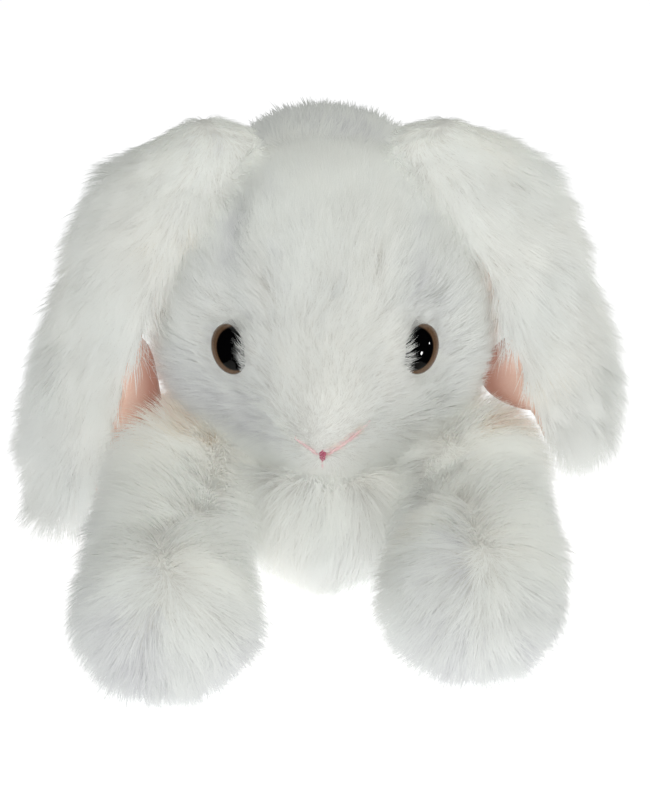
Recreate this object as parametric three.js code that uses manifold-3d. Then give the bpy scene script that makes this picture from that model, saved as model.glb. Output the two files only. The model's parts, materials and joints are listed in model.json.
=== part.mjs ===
// A white lop-eared plush rabbit that lies on its belly, in millimetres.
// +Z is up, the rabbit faces -Y, and its right-hand side as seen from the front is +X.
import * as THREE from "three";
import { mergeVertices } from "three/addons/utils/BufferGeometryUtils.js";
import Module from "manifold-3d";

const wasm = await Module();
wasm.setup();

// Sewing: the padded thickness of a fur panel, and the gap left between touching pieces.
const PANEL = 3;
const GAP = 0.3;
const TURNING_GAP = 1.3;
const ROOM_GAP = 2.8;
const MERGE_WITHIN = 1e-3;
// Blocks that cut a piece reach this far, well past the whole rabbit.
const FAR = 400;

// Facets around the head and body, and around the legs and tail.
const ROUND = { columns: 20, rows: 14 };
const SLIM = { columns: 12, steps: 10 };
const COARSE = { columns: 8, steps: 7 };
const EYE_FACETS = { columns: 20, steps: 5 };
const WASHER_COLUMNS = 16;
const EAR_FACETS = { across: 4, along: 11 };
const THREAD_FACETS = { around: 4, along: 6 };

// Head: a ball, with the muzzle pushed out of its front.
const HEAD = new THREE.Vector3(0, 4, 81);
const HEAD_RADIUS = 49.5;
const FOREHEAD_RISE = 1;
const FOREHEAD_LEAN = 0.4;
const FOREHEAD_START = 0.3;
const MUZZLE_LENGTH = 14;
const MUZZLE_SPREAD = 0.36;
const MUZZLE_DIRECTION = new THREE.Vector3(0, -1, -0.36).normalize();
const GUSSET_HALF_WIDTH = 15;
const CHIN_TOP = 56;

// Neck: a padded cup at the nape, between the head and the body.
const NECK_INNER = HEAD_RADIUS + TURNING_GAP;
const NECK_OUTER = NECK_INNER + 4;
const NECK_INSET = 1;
const NECK_HALF_WIDTH = 30;
const NECK_FRONT = 2;
const NOD_DOWN = 8;

// Body, from the chest to the rump.
const CHEST_Y = -44;
const RUMP_Y = 198;
const CHEST_HALF_WIDTH = 45;
const RUMP_HALF_WIDTH = 55;
const CHEST_HEIGHT = 66;
const RUMP_HEIGHT = 117;
const BELLY_PANEL_TOP = 13;
// Sections are fuller than an ellipse at both ends, widest past the middle, and the
// belly is pressed flat where it lies on the floor.
const BODY_FULLNESS = 0.12;
const BODY_WIDEST = 0.5;
const BELLY_PRESSED = 2;

// Safety eyes: a dome and its shank in one piece, held by a lock washer inside the head.
const EYE_RADIUS = 7.5;
const EYE_DOME = 5;
const EYE_SEAT = HEAD_RADIUS - 1;
const SHANK_RADIUS = 2.4;
const SHANK_LENGTH = 10;
const EYE_DIRECTION = new THREE.Vector3(0.58, -0.81, 0.01).normalize();
const WASHER_RADIUS = 8;
const WASHER_THICKNESS = 1.6;
const WASHER_SEAT = EYE_SEAT - 5.6;
const SHANK_CLEARANCE = 1;
const POCKET_TOP = HEAD_RADIUS + 20;

// Nose and mouth: threads between directions from the head's centre, with their radii.
const NOSE_THREADS = [
  { from: [-0.13, -1, -0.27], to: [0.012, -1, -0.345], radius: 0.9 },
  { from: [0.2, -1, -0.22], to: [-0.012, -1, -0.345], radius: 0.9 },
  { from: [-0.02, -1, -0.33], to: [0.02, -1, -0.35], radius: 1.6 },
];
const MOUTH_THREAD = { from: [0, -1, -0.39], to: [0, -1, -0.54], radius: 0.8 };

// Ears: each side's centre line runs from its root on the head, over the top and down.
const EAR_LINES = {
  left: [
    [-33, 12, 135], [-44, 9, 129], [-55, 5, 116], [-63, 0, 99],
    [-70, -4, 78], [-77, -6, 56], [-82, -6, 34], [-86, -6, 14],
  ],
  right: [
    [33, 12, 135], [44, 10, 129], [55, 7, 116], [63, 3, 100],
    [70, -1, 79], [77, -4, 58], [83, -5, 37],
  ],
};
const EAR_ROOT_HALF_WIDTH = 13;
const EAR_HALF_WIDTH = 21;
const EAR_THICKNESS = 6;
const EAR_LAYER_GAP = 1;
const LINING_THICKNESS = 2;
const EAR_CURL = 3;
// The blade turns to face forwards by EAR_SLANT_END of its length, is full at EAR_FULL_END,
// thins towards both edges and is rounded off over its last part.
const EAR_SLANT = 0.9;
const EAR_SLANT_END = 0.3;
const EAR_FULL_END = 0.35;
const EAR_EDGE_THINNING = 0.5;
const EAR_TIP_START = 0.8;
const EAR_TIP_LENGTH = 0.21;
const EAR_TIP_LEAST = 0.2;

// Legs: a ball at the root, a tube, and a ball for the paw, turned about one axis.
const FRONT_LEG = { rootRadius: 17, tubeRadius: 18, footRadius: 24, lift: 25 };
const HIND_LEG = { rootRadius: 19, tubeRadius: 19, footRadius: 21, lift: 30 };
const LEGS = {
  front_leg_left: { ...FRONT_LEG, root: [-42, -18, 32], foot: [-44, -88, 23.5] },
  front_leg_right: { ...FRONT_LEG, root: [42, -18, 32], foot: [41, -78, 23.5] },
  hind_leg_left: { ...HIND_LEG, root: [-40, 146, 26], foot: [-52, 200, 20.5] },
  hind_leg_right: { ...HIND_LEG, root: [40, 146, 26], foot: [52, 200, 20.5] },
};

// Tail: a puff on a short root.
const TAIL = { rootRadius: 7, tubeRadius: 7, footRadius: 15, root: [0, 193, 46], foot: [0, 213, 52] };
const TAIL_TIP = 15;
const TAIL_OPENING = 3;

const UP = new THREE.Vector3(0, 0, 1);
const SIDEWAYS = new THREE.Vector3(1, 0, 0);
const FORWARD = new THREE.Vector3(0, 1, 0);

// --- Solids -----------------------------------------------------------------------------------

function solid(geometry) {
  const plain = geometry.clone();
  plain.deleteAttribute("normal");
  plain.deleteAttribute("uv");
  const merged = mergeVertices(plain, MERGE_WITHIN);
  const vertProperties = merged.attributes.position.array;
  const triVerts = new Uint32Array(merged.index.array);
  return new wasm.Manifold(new wasm.Mesh({ numProp: 3, vertProperties, triVerts }));
}

function mesh(name, body, material) {
  const made = body.getMesh();
  const geometry = new THREE.BufferGeometry();
  geometry.setAttribute("position", new THREE.BufferAttribute(made.vertProperties, 3));
  geometry.setIndex(new THREE.BufferAttribute(made.triVerts, 1));
  geometry.computeVertexNormals();
  const piece = new THREE.Mesh(geometry, material.clone());
  piece.name = name;
  return piece;
}

// Everything between two corners; a corner left out lies far away.
function block({ x = [-FAR, FAR], y = [-FAR, FAR], z = [-FAR, FAR] }) {
  const geometry = new THREE.BoxGeometry(x[1] - x[0], y[1] - y[0], z[1] - z[0]);
  geometry.translate((x[0] + x[1]) / 2, (y[0] + y[1]) / 2, (z[0] + z[1]) / 2);
  return solid(geometry);
}

function ball(centre, radius) {
  const geometry = new THREE.SphereGeometry(radius, ROUND.columns, ROUND.rows);
  geometry.rotateX(Math.PI / 2);
  geometry.translate(...centre);
  return solid(geometry);
}

// A closed solid of revolution around the line from `from` towards `towards`.
function turned(profile, from, towards, segments = 16) {
  const geometry = new THREE.LatheGeometry(profile.map(([r, s]) => new THREE.Vector2(r, s)), segments);
  const axis = new THREE.Vector3(...towards).sub(new THREE.Vector3(...from)).normalize();
  geometry.applyQuaternion(new THREE.Quaternion().setFromUnitVectors(FORWARD, axis));
  geometry.translate(...from);
  return solid(geometry);
}

// A solid turned by an angle in degrees about an axis through a point.
function swung(body, point, axis, degrees) {
  const matrix = new THREE.Matrix4().makeTranslation(...point);
  matrix.multiply(new THREE.Matrix4().makeRotationAxis(axis, THREE.MathUtils.degToRad(degrees)));
  matrix.multiply(new THREE.Matrix4().makeTranslation(...point.map((value) => -value)));
  return body.transform(matrix.elements);
}

// --- Shapes -----------------------------------------------------------------------------------

// Distance from the head's centre to its fur panels in one direction.
function headReach(direction) {
  const angle = direction.angleTo(MUZZLE_DIRECTION);
  const muzzle = MUZZLE_LENGTH * Math.exp(-((angle / MUZZLE_SPREAD) ** 2));
  const height = direction.z - FOREHEAD_LEAN * direction.y;
  const forehead = FOREHEAD_RISE * THREE.MathUtils.smoothstep(height, FOREHEAD_START, 1);
  return HEAD_RADIUS + muzzle + forehead;
}

function headShape(inset) {
  const geometry = new THREE.SphereGeometry(1, ROUND.columns, ROUND.rows);
  geometry.rotateX(Math.PI / 2);
  const place = geometry.attributes.position;
  const direction = new THREE.Vector3();
  for (let i = 0; i < place.count; i++) {
    direction.fromBufferAttribute(place, i).normalize();
    direction.multiplyScalar(headReach(direction) - inset).add(HEAD);
    place.setXYZ(i, direction.x, direction.y, direction.z);
  }
  return solid(geometry);
}

function bodyShape(inset) {
  const geometry = new THREE.SphereGeometry(1, ROUND.columns, ROUND.rows);
  const place = geometry.attributes.position;
  const middle = (CHEST_Y + RUMP_Y) / 2;
  const halfLength = (RUMP_Y - CHEST_Y) / 2 - inset;
  for (let i = 0; i < place.count; i++) {
    const along = place.getY(i);
    const share = THREE.MathUtils.smoothstep(along, -1, BODY_WIDEST);
    const halfWidth = THREE.MathUtils.lerp(CHEST_HALF_WIDTH, RUMP_HALF_WIDTH, share) - inset;
    const halfHeight = THREE.MathUtils.lerp(CHEST_HEIGHT, RUMP_HEIGHT, share) / 2;
    const fullness = Math.max(1 - along * along, 1e-6) ** -BODY_FULLNESS;
    const x = place.getX(i) * halfWidth * fullness;
    const z = halfHeight + place.getZ(i) * (halfHeight + BELLY_PRESSED - inset) * fullness;
    place.setXYZ(i, x, middle + along * halfLength, z);
  }
  return solid(geometry).intersect(block({ z: [inset, FAR] }));
}

// Distance from the axis of a limb's surface, at a distance s along the axis from its root.
function limbRadius(s, length, limb) {
  const arc = (radius, offset) => Math.sqrt(Math.max(radius * radius - offset * offset, 0));
  const tube = s > 0 && s < length ? limb.tubeRadius : 0;
  return Math.max(arc(limb.rootRadius, s), arc(limb.footRadius, s - length), tube);
}

function limbShape(limb, inset, facets = SLIM) {
  const shrunk = {
    rootRadius: limb.rootRadius - inset,
    tubeRadius: limb.tubeRadius - inset,
    footRadius: limb.footRadius - inset,
  };
  const length = new THREE.Vector3(...limb.root).distanceTo(new THREE.Vector3(...limb.foot));
  const from = -shrunk.rootRadius;
  const to = length + shrunk.footRadius;
  const steps = facets.steps;
  const profile = [];
  for (let i = 0; i <= steps; i++) {
    // Steps close up towards both ends, where the surface curves most.
    const share = (1 - Math.cos((Math.PI * i) / steps)) / 2;
    const s = THREE.MathUtils.lerp(from, to, share);
    profile.push([i % steps === 0 ? 0 : limbRadius(s, length, shrunk), s]);
  }
  return turned(profile, limb.root, limb.foot, facets.columns).intersect(block({ z: [inset, FAR] }));
}

// A blade that follows an ear's centre line. `from` and `to` are its two faces, measured from
// the line towards the outside of the ear.
function earBlade(points, from, to) {
  const line = new THREE.CatmullRomCurve3(points.map((point) => new THREE.Vector3(...point)));
  const side = Math.sign(points[0][0]);
  const geometry = new THREE.BoxGeometry(2, 1, 1, EAR_FACETS.across, 1, EAR_FACETS.along);
  const place = geometry.attributes.position;
  for (let i = 0; i < place.count; i++) {
    const across = place.getX(i);
    const share = place.getZ(i) + 0.5;
    const thinning = 1 - EAR_EDGE_THINNING * across * across;
    const depth = from + (to - from) * thinning * (place.getY(i) + 0.5);
    const tangent = line.getTangent(share);
    // The blade lies across the head at its root, then turns to face forwards and outwards.
    const slant = THREE.MathUtils.smoothstep(share, 0, EAR_SLANT_END) * EAR_SLANT;
    const wide = new THREE.Vector3(-side * slant, -1, 0).normalize();
    wide.addScaledVector(tangent, -wide.dot(tangent)).normalize();
    const outwards = new THREE.Vector3().crossVectors(tangent, wide).normalize();
    if (outwards.x * side < 0) outwards.negate();
    const grown = THREE.MathUtils.smoothstep(share, 0, EAR_FULL_END);
    const full = THREE.MathUtils.lerp(EAR_ROOT_HALF_WIDTH, EAR_HALF_WIDTH, grown);
    const past = Math.max(share - EAR_TIP_START, 0) / EAR_TIP_LENGTH;
    const tip = Math.sqrt(Math.max(1 - past * past, EAR_TIP_LEAST * EAR_TIP_LEAST));
    const halfWidth = full * tip;
    const curl = -EAR_CURL * across * across;
    const point = line.getPoint(share);
    point.addScaledVector(wide, across * halfWidth);
    point.addScaledVector(outwards, curl + depth);
    place.setXYZ(i, point.x, point.y, point.z);
  }
  const blade = solid(geometry);
  return blade.volume() < 0 ? turnedInsideOut(geometry) : blade;
}

function turnedInsideOut(geometry) {
  const index = geometry.index;
  for (let i = 0; i < index.count; i += 3) {
    const first = index.getX(i);
    index.setX(i, index.getX(i + 1));
    index.setX(i + 1, first);
  }
  return solid(geometry);
}

// --- Materials --------------------------------------------------------------------------------

const fur = new THREE.MeshStandardMaterial({ color: 0xe9ebe8, roughness: 0.95, metalness: 0 });
const lining = new THREE.MeshStandardMaterial({ color: 0xeec8b6, roughness: 0.85, metalness: 0 });
const fibre = new THREE.MeshStandardMaterial({ color: 0xf6f6f2, roughness: 1, metalness: 0 });
const thread = new THREE.MeshStandardMaterial({ color: 0xd8708e, roughness: 0.6, metalness: 0 });
const eyePlastic = new THREE.MeshStandardMaterial({ color: 0x120c08, roughness: 0.05, metalness: 0 });
const washerPlastic = new THREE.MeshStandardMaterial({ color: 0xf0efe9, roughness: 0.5, metalness: 0 });

// --- Sub-parts --------------------------------------------------------------------------------

function torso() {
  const group = new THREE.Group();
  let room = ball(HEAD.toArray(), NECK_OUTER + TURNING_GAP);
  room = room.add(swung(headShape(-ROOM_GAP), HEAD.toArray(), SIDEWAYS, NOD_DOWN));
  for (const limb of [...Object.values(LEGS), TAIL]) room = room.add(limbRoom(limb));
  const outside = bodyShape(0);
  const skin = outside.subtract(bodyShape(PANEL));
  const belly = skin.intersect(block({ z: [-1, BELLY_PANEL_TOP] })).subtract(room);
  const upper = skin.intersect(block({ z: [BELLY_PANEL_TOP + GAP, FAR] })).subtract(room);
  const stuffing = bodyShape(PANEL + GAP).subtract(room);
  group.add(mesh("belly_panel", belly, fur));
  group.add(mesh("body_side_left", upper.intersect(block({ x: [-FAR, -GAP / 2] })), fur));
  group.add(mesh("body_side_right", upper.intersect(block({ x: [GAP / 2, FAR] })), fur));
  group.add(mesh("body_stuffing", stuffing, fibre));
  return group;
}

// The space that a limb sweeps through in the body as it moves over its range.
function limbRoom(limb) {
  const shape = limbShape(limb, -ROOM_GAP, COARSE);
  const stops = limb === TAIL ? [-TAIL_TIP, TAIL_TIP] : [0, limb.lift];
  const [axis, sign] = swingOf(limb);
  return stops.map((angle) => swung(shape, limb.root, axis, sign * angle)).reduce((a, b) => a.add(b));
}

// Front legs and the tail swing up about a sideways axis, hind legs outwards about an upright one.
function swingOf(limb) {
  if (limb === TAIL) return [SIDEWAYS, 1];
  if (limb.foot[1] < limb.root[1]) return [SIDEWAYS, -1];
  return [UP, -Math.sign(limb.root[0])];
}

function neck() {
  const cup = ball(HEAD.toArray(), NECK_OUTER).subtract(ball(HEAD.toArray(), NECK_INNER));
  const nape = block({ x: [-NECK_HALF_WIDTH, NECK_HALF_WIDTH], y: [NECK_FRONT, FAR] });
  return mesh("neck_stuffing", cup.intersect(bodyShape(NECK_INSET)).intersect(nape), fibre);
}

function head() {
  const group = new THREE.Group();
  const pockets = [eyePocket("left"), eyePocket("right")];
  let skin = headShape(0).subtract(headShape(PANEL));
  let stuffing = headShape(PANEL + GAP);
  for (const pocket of pockets) {
    skin = skin.subtract(pocket.inPanel);
    stuffing = stuffing.subtract(pocket.inStuffing);
  }
  const nose = noseStitching(0);
  const mouth = mouthStitching(0);
  skin = skin.subtract(noseStitching(GAP)).subtract(mouthStitching(GAP));
  const upper = skin.intersect(block({ z: [CHIN_TOP + GAP, FAR] }));
  const left = upper.intersect(block({ x: [-FAR, -GUSSET_HALF_WIDTH - GAP] }));
  const right = upper.intersect(block({ x: [GUSSET_HALF_WIDTH + GAP, FAR] }));
  const gusset = upper.intersect(block({ x: [-GUSSET_HALF_WIDTH, GUSSET_HALF_WIDTH] }));
  group.add(mesh("head_side_left", left, fur));
  group.add(mesh("head_side_right", right, fur));
  group.add(mesh("head_gusset", gusset, fur));
  group.add(mesh("chin_panel", skin.intersect(block({ z: [-FAR, CHIN_TOP] })), fur));
  group.add(mesh("head_stuffing", stuffing, fibre));
  group.add(mesh("nose_stitching", nose, thread));
  group.add(mesh("mouth_stitching", mouth, thread));
  for (const side of ["left", "right"]) {
    group.add(mesh(`eye_${side}`, eye(side), eyePlastic));
    group.add(mesh(`eye_washer_${side}`, eyeWasher(side), washerPlastic));
  }
  return group;
}

// Where an eye's axis meets the head: a point at a distance from the head's centre.
function eyePoint(side, distance) {
  const direction = EYE_DIRECTION.clone();
  if (side === "left") direction.x *= -1;
  return direction.multiplyScalar(distance).add(HEAD).toArray();
}

function onEyeAxis(side, profile, segments) {
  return turned(profile, eyePoint(side, 0), eyePoint(side, 1), segments);
}

function eye(side) {
  const base = EYE_SEAT + GAP;
  const profile = [[0, base - SHANK_LENGTH], [SHANK_RADIUS, base - SHANK_LENGTH], [SHANK_RADIUS, base]];
  for (let i = 0; i < EYE_FACETS.steps; i++) {
    const angle = (Math.PI / 2) * (i / EYE_FACETS.steps);
    profile.push([EYE_RADIUS * Math.cos(angle), base + EYE_DOME * Math.sin(angle)]);
  }
  profile.push([0, base + EYE_DOME]);
  return onEyeAxis(side, profile, EYE_FACETS.columns);
}

function eyeWasher(side) {
  const inner = SHANK_RADIUS + GAP;
  const top = WASHER_SEAT + WASHER_THICKNESS;
  const profile = [
    [inner, WASHER_SEAT],
    [WASHER_RADIUS, WASHER_SEAT],
    [WASHER_RADIUS, top],
    [inner, top],
    [inner, WASHER_SEAT],
  ];
  return onEyeAxis(side, profile, WASHER_COLUMNS);
}

function eyePocket(side) {
  const disc = (radius, from) => {
    const profile = [[0, from], [radius, from], [radius, POCKET_TOP], [0, POCKET_TOP]];
    return onEyeAxis(side, profile, EYE_FACETS.columns);
  };
  const shank = disc(SHANK_RADIUS + GAP, EYE_SEAT + GAP - SHANK_LENGTH - SHANK_CLEARANCE);
  return {
    inPanel: shank.add(disc(EYE_RADIUS + GAP, EYE_SEAT)),
    inStuffing: shank.add(disc(WASHER_RADIUS + GAP, WASHER_SEAT - GAP)),
  };
}

// A satin-stitched thread that lies on the muzzle; `extra` widens it into the groove it lies in.
function stitchedThread({ from, to, radius }, extra) {
  const steps = THREAD_FACETS.along;
  const points = [];
  for (let i = 0; i <= steps; i++) {
    const direction = new THREE.Vector3(...from).lerp(new THREE.Vector3(...to), i / steps).normalize();
    points.push(direction.multiplyScalar(headReach(direction)).add(HEAD));
  }
  const section = new THREE.Shape().absarc(0, 0, radius + extra, 0, 2 * Math.PI);
  const extrudePath = new THREE.CatmullRomCurve3(points);
  const settings = { steps, curveSegments: THREAD_FACETS.around, extrudePath };
  return solid(new THREE.ExtrudeGeometry(section, settings));
}

function noseStitching(extra) {
  return NOSE_THREADS.map((line) => stitchedThread(line, extra)).reduce((a, b) => a.add(b));
}

function mouthStitching(extra) {
  return stitchedThread(MOUTH_THREAD, extra);
}

function earPair(side) {
  const group = new THREE.Group();
  const line = EAR_LINES[side];
  group.add(mesh(`ear_${side}_outer`, earBlade(line, EAR_LAYER_GAP, EAR_THICKNESS), fur));
  group.add(mesh(`ear_${side}_lining`, earBlade(line, -LINING_THICKNESS, 0), lining));
  return group;
}

function leg(name) {
  const group = new THREE.Group();
  const limb = LEGS[name];
  const skin = limbShape(limb, 0).subtract(limbShape(limb, PANEL));
  const [rootX, rootY] = limb.root;
  const heading = Math.atan2(limb.foot[1] - rootY, limb.foot[0] - rootX);
  const sign = Math.sign(rootX);
  // The seam is an upright plane along the leg: one half faces outwards, the other the body.
  const half = (towards) => {
    const geometry = new THREE.BoxGeometry(FAR, FAR / 2, FAR);
    geometry.translate(0, towards * (FAR / 4 + GAP / 2), 0);
    geometry.rotateZ(heading);
    geometry.translate(rootX, rootY, 0);
    return solid(geometry);
  };
  const outwards = limb.foot[1] < rootY ? sign : -sign;
  group.add(mesh(`${name}_outer`, skin.intersect(half(outwards)), fur));
  group.add(mesh(`${name}_inner`, skin.intersect(half(-outwards)), fur));
  group.add(mesh(`${name}_stuffing`, limbShape(limb, PANEL + GAP), fibre));
  return group;
}

function tail() {
  const group = new THREE.Group();
  const cover = limbShape(TAIL, 0).subtract(limbShape(TAIL, PANEL));
  // The cover is left open where it is sewn to the rump.
  const opening = block({ y: [-FAR, TAIL.root[1] - TAIL_OPENING] });
  group.add(mesh("tail_cover", cover.subtract(opening), fur));
  group.add(mesh("tail_stuffing", limbShape(TAIL, PANEL + GAP), fibre));
  return group;
}

const rabbit = new THREE.Group();
rabbit.add(torso(), neck(), head(), earPair("left"), earPair("right"), tail());
for (const name of Object.keys(LEGS)) rabbit.add(leg(name));

// The origin is on the floor, under the middle of the whole rabbit.
const box = new THREE.Box3().setFromObject(rabbit);
const middle = box.getCenter(new THREE.Vector3());
rabbit.position.set(-middle.x, -middle.y, -box.min.z);

export default rabbit;
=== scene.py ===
import json
import math

import bmesh
import bpy
import numpy as np
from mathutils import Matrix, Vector
from mathutils.bvhtree import BVHTree
from mathutils.kdtree import KDTree


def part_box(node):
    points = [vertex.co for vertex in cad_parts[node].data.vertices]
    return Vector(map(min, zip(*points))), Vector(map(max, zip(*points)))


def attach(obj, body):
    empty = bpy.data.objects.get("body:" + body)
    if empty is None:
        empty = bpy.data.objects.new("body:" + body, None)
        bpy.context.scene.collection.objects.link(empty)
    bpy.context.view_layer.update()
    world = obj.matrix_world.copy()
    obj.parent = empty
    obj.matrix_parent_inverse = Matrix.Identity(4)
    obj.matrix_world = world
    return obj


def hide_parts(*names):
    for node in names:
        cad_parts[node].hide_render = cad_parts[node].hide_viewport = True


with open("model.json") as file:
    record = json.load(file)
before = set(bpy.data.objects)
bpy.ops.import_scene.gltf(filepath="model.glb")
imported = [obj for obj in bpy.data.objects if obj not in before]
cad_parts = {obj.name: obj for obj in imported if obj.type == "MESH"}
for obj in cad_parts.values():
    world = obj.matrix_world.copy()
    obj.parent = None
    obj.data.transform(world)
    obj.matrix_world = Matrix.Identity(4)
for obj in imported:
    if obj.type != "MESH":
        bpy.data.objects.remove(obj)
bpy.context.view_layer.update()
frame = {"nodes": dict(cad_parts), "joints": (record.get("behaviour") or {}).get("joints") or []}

MM = 0.001
SIDES = {"left": -1, "right": 1}
scene = bpy.context.scene

JOINT = {j["name"]: np.array(j["pos_m"]) for j in frame["joints"]}
HEAD = JOINT["head_turn"]


def node_points(name):
    """The corner points of a CAD node, in metres."""
    mesh = frame["nodes"][name].data
    points = np.empty(len(mesh.vertices) * 3)
    mesh.vertices.foreach_get("co", points)
    return points.reshape(-1, 3)


def unit(v):
    return v / np.maximum(np.linalg.norm(v, axis=-1, keepdims=True), 1e-9)


def step(x, low, high):
    """Smooth step from 0 at low to 1 at high."""
    t = np.clip((x - low) / (high - low), 0, 1)
    return t * t * (3 - 2 * t)


def dot(a, b):
    return (a * b).sum(-1)


def flat_on(vectors, normals):
    """The part of each vector that lies in the surface, as a unit vector."""
    return unit(vectors - dot(vectors, normals)[..., None] * normals)


def waves(points, size, seed):
    """A smooth random field from about -1 to 1 whose bumps are about `size` across."""
    random = np.random.default_rng(seed)
    total = np.zeros(len(points))
    for _ in range(7):
        k = unit(random.normal(size=3)) * random.uniform(0.7, 1.4) * math.pi / size
        total += np.sin(points @ k + random.uniform(0, 2 * math.pi))
    return total / 2.6


# ---------------------------------------------------------------- camera, light and floor
AIM = Vector(HEAD) + Vector((0, -4 * MM, -30 * MM))
VIEW_DISTANCE = 0.560
VIEW_ELEVATION = math.radians(22)
LENS_MM = 79


def make_camera():
    data = bpy.data.cameras.new("camera")
    data.sensor_width = 36
    data.lens = LENS_MM
    data.clip_start = 0.01
    camera = bpy.data.objects.new("camera", data)
    back = Vector((0, -math.cos(VIEW_ELEVATION), math.sin(VIEW_ELEVATION)))
    camera.location = AIM + back * VIEW_DISTANCE
    camera.rotation_euler = (-back).to_track_quat("-Z", "Y").to_euler()
    scene.collection.objects.link(camera)
    scene.camera = camera


def area_light(name, place, size, watts, colour=(1, 1, 1), mirrored=False, shadow=True):
    data = bpy.data.lights.new(name, "AREA")
    data.shape = "DISK"
    data.size = size
    data.energy = watts
    data.color = colour
    light = bpy.data.objects.new(name, data)
    light.location = AIM + Vector(place)
    light.rotation_euler = (-Vector(place)).to_track_quat("-Z", "Y").to_euler()
    light.visible_glossy = mirrored
    data.use_shadow = shadow
    scene.collection.objects.link(light)


def make_light():
    scene.view_settings.view_transform = "Standard"
    scene.cycles.diffuse_bounces = 10
    world = bpy.data.worlds.new("studio")
    scene.world = world
    world.use_nodes = True
    background = world.node_tree.nodes["Background"]
    background.inputs["Color"].default_value = (0.97, 1, 0.95, 1)
    background.inputs["Strength"].default_value = 0.25
    world.cycles_visibility.glossy = False
    nodes, links = world.node_tree.nodes, world.node_tree.links
    backdrop = nodes.new("ShaderNodeBackground")
    backdrop.inputs["Color"].default_value = (1, 1, 1, 1)
    rays = nodes.new("ShaderNodeLightPath")
    either = nodes.new("ShaderNodeMixShader")
    links.new(rays.outputs["Is Camera Ray"], either.inputs[0])
    links.new(background.outputs[0], either.inputs[1])
    links.new(backdrop.outputs[0], either.inputs[2])
    links.new(either.outputs[0], nodes["World Output"].inputs["Surface"])
    area_light("key", (0.95, -0.80, 1.10), 0.9, 3.0, (1, 1, 0.94))
    area_light("soft_key", (0.95, -0.80, 1.10), 0.9, 4.8, (1, 1, 0.94), shadow=False)
    area_light("top", (-0.3, -0.5, 1.5), 0.9, 3.2, (1, 1, 0.95), shadow=False)
    area_light("side", (1.2, -0.9, 0.0), 0.9, 2.2, (1, 1, 0.95), shadow=False)
    area_light("fill", (-0.8, -1.2, 0.5), 0.8, 1.5, (0.98, 1, 0.98), shadow=False)
    area_light("front", (0.1, -1.4, -0.2), 0.6, 1.8, (1, 1, 0.96), shadow=False)


def make_floor():
    mesh = bpy.data.meshes.new("floor")
    half = 6
    mesh.from_pydata(
        [(-half, -half, 0), (half, -half, 0), (half, half, 0), (-half, half, 0)], [], [(0, 1, 2, 3)]
    )
    floor = bpy.data.objects.new("floor", mesh)
    scene.collection.objects.link(floor)
    look = bpy.data.materials.new("floor")
    look.use_nodes = True
    shader = look.node_tree.nodes["Principled BSDF"]
    shader.inputs["Base Color"].default_value = (0.5, 0.5, 0.5, 1)
    shader.inputs["Roughness"].default_value = 0.9
    shader.inputs["Specular IOR Level"].default_value = 0.1
    shader.inputs["Emission Color"].default_value = (0.985, 0.985, 1, 1)
    shader.inputs["Emission Strength"].default_value = 0.86
    mesh.materials.append(look)
    floor.visible_glossy = False


make_camera()
make_light()
make_floor()


# ---------------------------------------------------------------- materials
def new_look(name, slot, roughness, sheen=0.0, specular=0.5):
    look = bpy.data.materials.new(name)
    look.use_nodes = True
    shader = look.node_tree.nodes["Principled BSDF"]
    shader.inputs["Roughness"].default_value = roughness
    shader.inputs["Sheen Weight"].default_value = sheen
    shader.inputs["Sheen Roughness"].default_value = 0.5
    shader.inputs["Specular IOR Level"].default_value = specular
    return look, look.node_tree, shader


def ramp(tree, factor, stops):
    node = tree.nodes.new("ShaderNodeValToRGB")
    elements = node.color_ramp.elements
    while len(elements) < len(stops):
        elements.new(0.5)
    for element, (place, colour) in zip(elements, stops):
        element.position = place
        element.color = (*colour, 1)
    tree.links.new(factor, node.inputs["Fac"])
    return node.outputs["Color"]


def mixed(tree, factor, a, b):
    node = tree.nodes.new("ShaderNodeMix")
    node.data_type = "RGBA"
    for socket, value in ((0, factor), (6, a), (7, b)):
        if isinstance(value, (int, float)):
            node.inputs[socket].default_value = value
        elif isinstance(value, tuple):
            node.inputs[socket].default_value = (*value, 1)
        else:
            tree.links.new(value, node.inputs[socket])
    return node.outputs[2]


def uv_axes(tree):
    node = tree.nodes.new("ShaderNodeUVMap")
    node.uv_map = "OFBake"
    split = tree.nodes.new("ShaderNodeSeparateXYZ")
    tree.links.new(node.outputs["UV"], split.inputs["Vector"])
    return node.outputs["UV"], split.outputs["X"], split.outputs["Y"]


def object_noise(tree, scale, detail=3.0, roughness=0.6):
    place = tree.nodes.new("ShaderNodeTexCoord")
    noise = tree.nodes.new("ShaderNodeTexNoise")
    noise.inputs["Scale"].default_value = scale
    noise.inputs["Detail"].default_value = detail
    noise.inputs["Roughness"].default_value = roughness
    tree.links.new(place.outputs["Object"], noise.inputs["Vector"])
    return noise.outputs["Fac"]


def pile_look():
    """The long pile: across the texture runs the tone of a tuft, from grey painted shade through white to
    peach and pink, and upwards from root to tip.
    """
    look, tree, shader = new_look("white_pile", "fur", 0.8, 0.12, 0.1)
    _, tone, height = uv_axes(tree)
    # tone 0 is the grey of painted shade; the peach stops also carry the painted pinkish shade on the
    # shoulders
    roots = ramp(tree, tone, [
        (0.0, (0.66, 0.66, 0.70)),
        (0.3, (0.90, 0.90, 0.90)),
        (0.66, (0.91, 0.90, 0.87)),
        (0.76, (0.84, 0.76, 0.64)),
        (0.88, (0.86, 0.68, 0.60)),
        (1.0, (0.84, 0.50, 0.54)),
    ])
    tips = ramp(tree, tone, [
        (0.0, (0.76, 0.76, 0.79)),
        (0.3, (0.95, 0.965, 0.955)),
        (0.66, (0.965, 0.965, 0.945)),
        (0.76, (0.94, 0.90, 0.83)),
        (0.88, (0.95, 0.86, 0.81)),
        (1.0, (0.94, 0.74, 0.77)),
    ])
    share = ramp(tree, height, [(0.0, (0, 0, 0)), (0.55, (1, 1, 1))])
    tree.links.new(mixed(tree, share, roots, tips), shader.inputs["Base Color"])
    return look


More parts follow.
